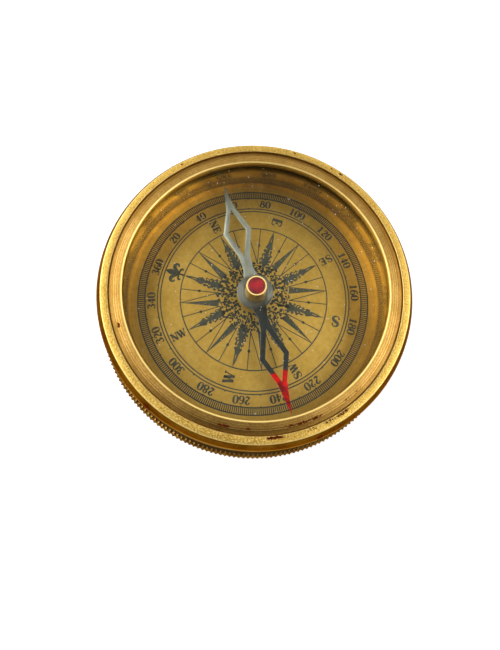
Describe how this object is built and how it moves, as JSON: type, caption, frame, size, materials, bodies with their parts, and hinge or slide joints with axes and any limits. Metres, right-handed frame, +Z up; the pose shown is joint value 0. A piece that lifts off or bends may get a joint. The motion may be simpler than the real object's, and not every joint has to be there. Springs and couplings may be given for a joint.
{
  "type": "magnetic compass",
  "caption": "Open-faced round brass compass with a knurled base, threaded bezel, flat crystal, engraved dial and a pivoted needle with a jewelled cap.",
  "frame": {"origin": "centre of the base's underside, on the axis of the case", "axes": "+Z up along the case axis and the needle's pivot; +Y towards dial north, +X towards dial east"},
  "size_m": [0.0756, 0.0756, 0.017],
  "materials": {
    "case_brass": "satin, aged",
    "bezel_brass": "lathe-turned",
    "dial_brass": "matt, engraved and filled",
    "polished_brass": "polished",
    "fitting_brass": "machined",
    "pin_steel": "hardened and polished",
    "needle_steel": "grey, one tip painted red",
    "jewel_red": "polished red stone",
    "seal_rubber": "matt",
    "crystal_glass": "clear and polished"
  },
  "bodies": {
    "housing": {"base_cap": "case_brass", "case_body": "case_brass", "pivot_washer": "fitting_brass", "pivot_nut": "fitting_brass", "dial_plate": "dial_brass", "pivot_post": "fitting_brass", "pivot_pin": "pin_steel", "well_ring": "polished_brass", "crystal_seal": "seal_rubber", "crystal": "crystal_glass", "bezel_ring": "bezel_brass"},
    "needle": {"needle_blade": "needle_steel", "needle_collar": "needle_steel", "needle_cap": "polished_brass", "cap_jewel": "jewel_red"}
  },
  "joints": [
    {"name": "needle_spin", "type": "hinge", "parent": "housing", "child": "needle", "pos_m": [0, 0, 0.013], "axis": [0, 0, 1], "continuous": true}
  ]
}
